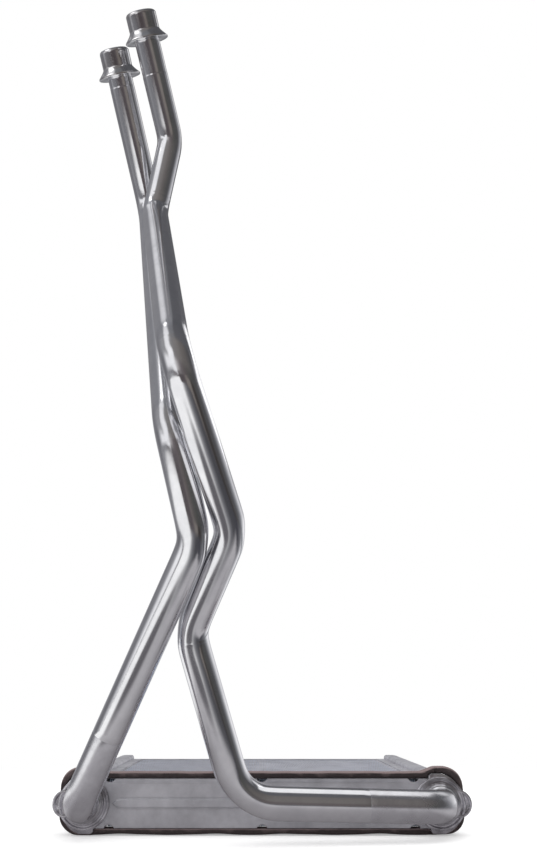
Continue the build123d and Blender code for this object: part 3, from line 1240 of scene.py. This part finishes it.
@dataclass
class SidePlate(Piece):
    """A side plate with a flat-topped bead, a fold line and notched edges. Millimetres.

    Attributes:
        face_y: Where its outer face lies.
        looks: Minus one where that face looks to the front, and one to the back.
        height: Its height.
        half_length: Half its length.
        gauge: Its thickness.
        edge: Rounding of its long edges.
        bead_half: Half the bead's width.
        bead_rise: How far the bead stands out.
        bead_end: Where the bead ends, to each side.
        bead_ramp: Width of the bead's sides.
        bead_taper: Length over which the bead's ends narrow.
        crease: Depth of the creases beside the bead.
        crease_off: How far they lie from the bead's edge.
        crease_width: Their width.
        fold_z: Height of the fold line above the middle.
        fold_depth: Depth of the fold line.
        fold_width: Its width.
        notch_radius: Radius of the half-round notches.
        notch_depth: Their depth.
        notch_x: Where the outer ones lie, to each side. One more is in the middle.
        steps: Points along the plate.
        notch_steps: Points along the stretch about each notch.
        notch_reach: Half the length of that stretch.
    """

    face_y: float
    looks: int
    height: float = 27.0
    half_length: float = 91.5
    gauge: float = 1.5
    edge: float = 0.35
    bead_half: float = 2.6
    bead_rise: float = 0.85
    bead_end: float = 87.5
    bead_ramp: float = 0.7
    bead_taper: float = 4.0
    crease: float = 0.2
    crease_off: float = 0.25
    crease_width: float = 0.35
    fold_z: float = 11.2
    fold_depth: float = 0.14
    fold_width: float = 0.3
    notch_radius: float = 3.6
    notch_depth: float = 1.9
    notch_x: float = 88.9
    steps: int = 110
    notch_steps: int = 41
    notch_reach: float = 4.0

    def notch(self, x: np.ndarray) -> np.ndarray:
        """Work out how far the half-round notches cut in.

        It is what the circle about the nearest notch's middle reaches past the edge.

        Args:
            x: Places along the plate.

        Returns:
            The cut at each place.
        """
        nearest = np.minimum(np.abs(np.abs(x) - self.notch_x), np.abs(x))
        circle = np.sqrt(np.maximum(self.notch_radius ** 2 - nearest ** 2, 0))
        return np.maximum(circle - (self.notch_radius - self.notch_depth), 0)

    def rise(self, x: np.ndarray, z: np.ndarray) -> np.ndarray:
        """Give how far the face stands out: the bead, less its creases and the fold line.

        The bead's half width shrinks in a straight line towards its ends. Its side is an eased
        step, and a crease or a fold line is an exponential of minus a squared distance.

        Args:
            x: Places along the plate.
            z: Heights above its middle.

        Returns:
            The rise at each place.
        """
        left = np.clip((self.bead_end - np.abs(x)) / self.bead_taper, 0, 1)
        beyond = np.abs(z) - self.bead_half * left
        bead = self.bead_rise * smoothstep(-beyond / self.bead_ramp)
        creases = self.crease * bump(beyond, self.crease_off, self.crease_width)
        fold = self.fold_depth * bump(z, self.fold_z, self.fold_width)
        return (bead - creases) * smoothstep(left * 3) - fold

    def shell(self) -> Shell:
        """Carry the plate's closed section along x, with its edges following the notches.

        Returns:
            The surface.
        """
        coarse = np.linspace(-self.half_length, self.half_length, self.steps)
        fine = [middle + np.linspace(-self.notch_reach, self.notch_reach, self.notch_steps)
                for middle in (-self.notch_x, 0, self.notch_x)]
        x = np.unique(np.round(np.clip(np.concatenate([coarse, *fine]), -self.half_length,
                                       self.half_length), 3))
        # Shares of the height: closer over the bead, in the middle, and over the fold line.
        share = np.unique(np.concatenate([
            np.linspace(0, 0.36, 16), np.linspace(0.36, 0.64, 29), np.linspace(0.64, 1, 16),
            np.linspace(0.9, 0.93, 7)]))
        half = (self.height / 2 - self.notch(x))[:, None]
        z = (2 * share - 1)[None] * (half - self.edge)
        quarter = np.linspace(0, pi / 2, 4)[1:][None]
        lip_z = half - self.edge + self.edge * np.sin(quarter)
        lip_y = np.broadcast_to(self.edge * (1 - np.cos(quarter)), lip_z.shape)
        side_z = np.hstack([-lip_z[:, ::-1], z, lip_z])
        outer, inner = (np.hstack([lip_y[:, ::-1], -rise, lip_y])
                        for rise in (self.rise(x[:, None], z), np.zeros_like(z)))
        ring_z = np.hstack([side_z, side_z[:, ::-1]])
        ring_y = self.face_y - self.looks * np.hstack([outer, self.gauge - inner])
        points = np.stack([np.broadcast_to(x[:, None], ring_z.shape), ring_y,
                           ring_z + MIDDLE_Z], axis=-1)
        columns = ring_z.shape[1]
        faces, _ = grid_faces(len(x), columns, False)
        return Shell(points.reshape(-1, 3), np.vstack([faces, end_faces(len(x), columns)]))


@dataclass(frozen=True)
class Body:
    """The brazed body's outline across its front, which caps and foam follow. Millimetres.

    Attributes:
        core_half: Half the core's width and height.
        tank_middle: Where the middle of a tank lies, to each side.
        tank_half: Half a tank's width and height.
        outer_corner: Radius of a tank's two outer corners.
        inner_corner: Radius of its two corners by the core.
    """

    core_half: Span = (97.5, 13.5)
    tank_middle: float = 106.5
    tank_half: Span = (9.0, 16.3)
    outer_corner: float = 12.0
    inner_corner: float = 2.0

    @staticmethod
    def box_distance(x: np.ndarray, z: np.ndarray, half: Span,
                     corner: Union[float, np.ndarray]) -> np.ndarray:
        """Work out the distance to a rounded rectangle, less than zero inside it.

        It is the length of what x and z exceed the shrunken half sizes by, plus the greater of
        the two where both are below zero, less the corner's radius.

        Args:
            x: Places across, from its middle.
            z: Heights, from its middle.
            half: Half its width and height.
            corner: Its corners' radius.

        Returns:
            The distance of each place.
        """
        over_x = np.abs(x) - half[0] + corner
        over_z = np.abs(z) - half[1] + corner
        outside = np.hypot(np.maximum(over_x, 0), np.maximum(over_z, 0))
        return outside + np.minimum(np.maximum(over_x, over_z), 0) - corner

    def tank_distance(self, x: np.ndarray, z: np.ndarray) -> np.ndarray:
        """Work out the distance to the tank on the same side as x.

        Args:
            x: Places across.
            z: Heights above the floor.

        Returns:
            The distance of each place.
        """
        off = np.abs(x) - self.tank_middle
        corner = np.where(off > 0, self.outer_corner, self.inner_corner)
        return self.box_distance(off, z - MIDDLE_Z, self.tank_half, corner)

    def distance(self, x: np.ndarray, z: np.ndarray) -> np.ndarray:
        """Work out the distance to the core or the nearer tank, as for the tank alone."""
        core = self.box_distance(x, z - MIDDLE_Z, self.core_half, 0.0)
        return np.minimum(core, self.tank_distance(x, z))


@dataclass
class EndCap(Piece):
    """A front end cap: plate, rim, groove, step and collar, with a cupped lug. Millimetres.

    Attributes:
        side: Minus one for the left and one for the right.
        bore: Radius of the collar's bore.
        ring_radius: Radius of the rim.
        drawn_rim: Radius of the plate's edge in the profile.
        least_rim: Least reach of the plate past the rim.
        plate: Thickness of the plate, and of the groove's bottom.
        rim_rise: Rise of the rim above the tank.
        groove: Radii of the groove between step and rim.
        step_rise: Rise of the step.
        collar_radius: Outside radius of the collar.
        collar_rise: Rise of the collar.
        edge: Rounding of its edges.
        lug_x: Where the lug's middle lies, to each side.
        lug: Radius and rise along the cupped lug's section.
        columns: Points round the cap.
        lug_sides: Points round the lug.
    """

    side: int
    bore: float = 9.0
    ring_radius: float = 14.5
    drawn_rim: float = 18.5
    least_rim: float = 0.35
    plate: float = 1.5
    rim_rise: float = 3.0
    groove: Span = (11.6, 13.1)
    step_rise: float = 4.1
    collar_radius: float = 10.7
    collar_rise: float = 5.5
    edge: float = 0.4
    lug_x: float = 114.0
    lug: Sequence[Span] = (
        (3.0, 1.6), (5.6, 1.6), (5.95, 1.66), (6.1, 1.85), (6.1, 2.95), (6.2, 3.13), (6.4, 3.2),
        (7.3, 3.2), (7.52, 3.1), (7.6, 2.9), (7.6, 0.2), (7.4, 0.02), (3.0, 0.0))
    columns: int = 200
    lug_sides: int = 72

    def profile(self) -> np.ndarray:
        """Draw the section, from the bore out under the plate and back in over the rim.

        Returns:
            Radius and rise of each point.
        """
        inner, outer = self.groove
        return soften([
            (self.bore, 0), (self.drawn_rim, 0), (self.drawn_rim, self.plate),
            (self.ring_radius, self.plate), (self.ring_radius, self.rim_rise),
            (outer, self.rim_rise), (outer, self.plate), (inner, self.plate),
            (inner, self.step_rise), (self.collar_radius, self.step_rise),
            (self.collar_radius, self.collar_rise), (self.bore, self.collar_rise)],
            self.edge, 5)

    def rim(self, angle: np.ndarray) -> np.ndarray:
        """Work out the plate's reach about the port: to the tank's outline, or past the rim.

        The tank's edge is found by halving the span between a radius inside it and one outside.

        Args:
            angle: Angles about the port.

        Returns:
            The reach at each angle.
        """
        body = Body()
        inside, outside = np.full_like(angle, 2.0), np.full_like(angle, 24.0)
        for _ in range(30):
            middle = (inside + outside) / 2
            gap = body.tank_distance(PORT_X + middle * np.cos(angle),
                                     MIDDLE_Z + middle * np.sin(angle))
            inside = np.where(gap < 0, middle, inside)
            outside = np.where(gap < 0, outside, middle)
        return np.maximum(inside, self.ring_radius + self.least_rim)

    def shell(self) -> Shell:
        """Carry the profile round the port. Past the rim, its radius stretches to the plate's.

        Returns:
            The surface, with the lug's.
        """
        profile = self.profile()
        angle = np.arange(self.columns) * 2 * pi / self.columns
        past = np.maximum(profile[:, 0] - self.ring_radius, 0)[:, None]
        stretch = (self.rim(angle) - self.ring_radius) / (self.drawn_rim - self.ring_radius)
        radius = np.minimum(profile[:, :1], self.ring_radius) + past * stretch[None]
        rise = np.broadcast_to(profile[:, 1:], radius.shape)
        points = np.stack([self.side * (PORT_X + radius * np.cos(angle)), -rise,
                           MIDDLE_Z + radius * np.sin(angle)], axis=-1)
        faces, _ = grid_faces(len(profile), self.columns, True)
        foot = np.array([self.side * self.lug_x, 0.0, MIDDLE_Z])
        lug = turned_shell(np.array(self.lug), foot, FORWARD, self.lug_sides, closed=False)
        return Shell(points.reshape(-1, 3), faces).outward().joined(lug)


@dataclass
class BrazeRing(Piece):
    """The fillet of braze round an elbow where it leaves its collar. Millimetres.

    Attributes:
        side: Minus one for the left and one for the right.
        pipe_radius: The elbow's radius.
        wedge: Reach past the elbow's skin, and rise, along the hollow-sided section.
        sides: Points round it.
    """

    side: int
    pipe_radius: float = 9.0
    wedge: Sequence[Span] = (
        (-0.15, 5.2), (1.5, 5.2), (1.45, 5.55), (0.95, 5.72), (0.5, 6.05), (0.22, 6.5),
        (0.06, 7.1), (-0.15, 7.3))
    sides: int = 80
    for_node: ClassVar[bool] = False

    def shell(self) -> Shell:
        """Turn the wedge round the port's axis, bedded in the collar's end.

        Returns:
            The surface, without unrolled places.
        """
        port = np.array([self.side * PORT_X, 0.0, MIDDLE_Z])
        section = np.array(self.wedge) + (self.pipe_radius, 0.0)
        ring = turned_shell(section, port, FORWARD, self.sides)
        return Shell(ring.points, ring.faces)


@dataclass
class FoamSeal(Piece):
    """The band of foam round the front of the core. Millimetres.

    Attributes:
        half_width: Its reach to each side.
        tank_top: Its height over the tanks.
        shoulder_x: Where it starts to come down from the tanks.
        shoulder: Width of the way down, and its bends' radius.
        flat_top: Its height over the core.
        corner: Radius of its four corners.
        depth: How far it reaches back.
        clearance: Space kept from the metal.
        lump: Depth of its slow unevenness.
        waves: Count round the seal, share and start of each wave of that unevenness.
        sag: Depth of the waves in its underside.
        sags: Half their count round the seal, and their start.
        uneven: Share by which they differ in depth, and how many times round the seal.
        foot: Height up to which the underside's waves reach.
        steps: Most distance between sections on a straight run, and on an arc.
        ring: Points round its section.
    """

    name: str = "foam_seal"
    half_width: float = 118.0
    tank_top: float = 37.4
    shoulder_x: float = 101.3
    shoulder: float = 8.0
    flat_top: float = 34.6
    corner: float = 11.0
    depth: float = 11.0
    clearance: float = 0.08
    lump: float = 0.35
    waves: Sequence[Point] = ((9, 0.2, 0.6), (23, 0.18, 0.0), (41, 0.12, 2.0))
    sag: float = 0.8
    sags: Span = (5.5, 0.4)
    uneven: Span = (0.3, 17.0)
    foot: float = 6.0
    steps: Span = (1.6, 0.8)
    ring: int = 32
    slot: ClassVar[str] = "foam"

    def shell(self) -> Shell:
        """Carry a rounded rectangle round the outline, from the foam's skin in to the metal.

        The skin is a route of runs and arcs in x and z, less a sum of sines of the distance
        along it, with squared sines underneath. From each of its points the way in is square
        to it, and its length grows by the distance still left to the metal until none is left.
        The section's two shares are a cosine and a sine, each to the power of two fifths.

        Returns:
            The surface.
        """
        half = [(self.half_width, 0.0), (self.half_width, self.tank_top),
                (self.shoulder_x, self.tank_top), (self.shoulder_x - self.shoulder, self.flat_top)]
        corners = [(0.0, 0.0), *half, *[(-x, z) for x, z in half[::-1]], (0.0, 0.0)]
        radii = [self.corner, self.corner, self.shoulder, self.shoulder]
        route = Route([(x, 0.0, z) for x, z in corners], radii + radii[::-1])
        along = route.stations(*self.steps)[:-1]
        centre = route.rings(along).centre
        way = unit(np.roll(centre, -1, axis=0) - np.roll(centre, 1, axis=0))
        inward = np.stack([-way[:, 2], np.zeros(len(way)), way[:, 0]], axis=1)
        turn = 2 * pi * along / route.length
        lump = self.lump * (0.5 + sum(share * np.sin(count * turn + start)
                                      for count, share, start in self.waves))
        share, count = self.uneven
        depth = self.sag * (1 + share * np.sin(count * turn)) / (1 + share)
        sag = depth * np.sin(self.sags[0] * turn + self.sags[1]) ** 2
        high = smoothstep(centre[:, 2] / self.foot)
        skin = centre + inward * (lump * high + sag * (1 - high))[:, None]
        reach = np.zeros(len(along))
        body = Body()
        for _ in range(40):
            at = skin + inward * reach[:, None]
            reach += np.maximum(body.distance(at[:, 0], at[:, 2]) - self.clearance, 0)
        angle = np.arange(self.ring) * 2 * pi / self.ring
        thick, deep = (np.sign(part) * np.abs(part) ** 0.4
                       for part in (np.cos(angle), np.sin(angle)))
        share = (1 - thick)[None, :, None] / 2
        points = skin[:, None] + inward[:, None] * reach[:, None, None] * share
        points[:, :, 1] += (self.depth / 2 * (1 + deep))[None]
        faces, _ = grid_faces(len(along), self.ring, True)
        return Shell(points.reshape(-1, 3), faces)

    def build(self, material: bpy.types.Material) -> bpy.types.Object:
        """Make the seal.

        Args:
            material: The foam.

        Returns:
            The new object.
        """
        piece = super().build(material)
        return piece


@dataclass
class Core:
    """The brazed block with its foam.

    Attributes:
        fin_count: Number of fin strips.
        first_fin: Where the first one's middle lies, in millimetres.
        row_pitch: Distance from one to the next, in millimetres.
        depth: Distance between the side plates' outer faces, in millimetres.
        sheet_nodes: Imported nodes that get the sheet's finish, besides the flat tubes.
    """

    fin_count: int = 19
    first_fin: float = 5.45
    row_pitch: float = 9.9
    depth: float = 189.1
    sheet_nodes: Sequence[str] = (
        "header_tray_left", "header_tray_right", "tank_left", "tank_right",
        "rear_cap_left", "rear_cap_right")

    def build(self, sheet: bpy.types.Material, cap: bpy.types.Material,
              foil: bpy.types.Material, braze: bpy.types.Material,
              foam: bpy.types.Material) -> None:
        """Make the core's own pieces, and give the rest of its nodes their finish.

        Args:
            sheet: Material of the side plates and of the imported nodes.
            cap: The front caps' material.
            foil: The fins'.
            braze: The braze rings'.
            foam: The seal's.
        """
        for index in range(self.fin_count):
            FinRow(f"fin_{index + 1:02d}", self.first_fin + index * self.row_pitch).build(foil)
        SidePlate("side_plate_front", 0.0, -1).build(sheet)
        SidePlate("side_plate_rear", self.depth, 1, notch_depth=0.0).build(sheet)
        for side, word in ((-1, "left"), (1, "right")):
            EndCap(f"front_cap_{word}", side).build(cap)
            BrazeRing(f"braze_ring_{word}", side).build(braze)
        FoamSeal().build(foam)
        for name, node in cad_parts.items():
            if name in self.sheet_nodes or name.startswith("flat_tube"):
                node.data.materials.clear()
                node.data.materials.append(sheet)


def main() -> None:
    """Build the studio and the heater core."""
    logging.basicConfig(level=logging.INFO, format="%(name)s: %(message)s")
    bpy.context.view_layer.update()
    Studio().build()
    tube, elbow_tube, turned_end = (
        finish.material() for finish in (DRAWN_TUBE, BRAZED_TUBE, TURNED_END))
    WaterPipe(
        "left", -1, reach=28.0, swage=22.0, radii=(18.0, 27.0, 27.0, 24.0),
        bends=((-36.5, -79.5, 158.0), (-51.5, -91.5, 220.5), (-82.0, 51.0, 429.0)),
        mouth=(-106.5, -4.5, 530.5)).build(tube, elbow_tube, turned_end)
    WaterPipe(
        "right", 1, reach=22.0, swage=38.0, radii=(15.0, 27.0, 24.0, 24.0, 27.0, 20.0, 20.0),
        bends=((-13.0, -33.5, 21.0), (-40.5, -52.5, 111.5), (-16.5, -76.0, 163.0),
               (-47.0, -124.5, 251.5), (-75.0, 16.5, 410.0), (-64.5, 11.5, 464.5)),
        mouth=(-84.5, -31.0, 541.0),
        ridges=((334.0, 0.05, 0.6), (158.0, 0.04, 0.8), (548.0, 0.04, 0.8))).build(
            tube, elbow_tube, turned_end)
    Core().build(BRAZED_SHEET.material(), PRESSED_CAP.material(), FIN_FOIL.material(),
                 BRAZE_FILLET.material(), FoamFinish().material())


if __name__ == "__main__":
    main()
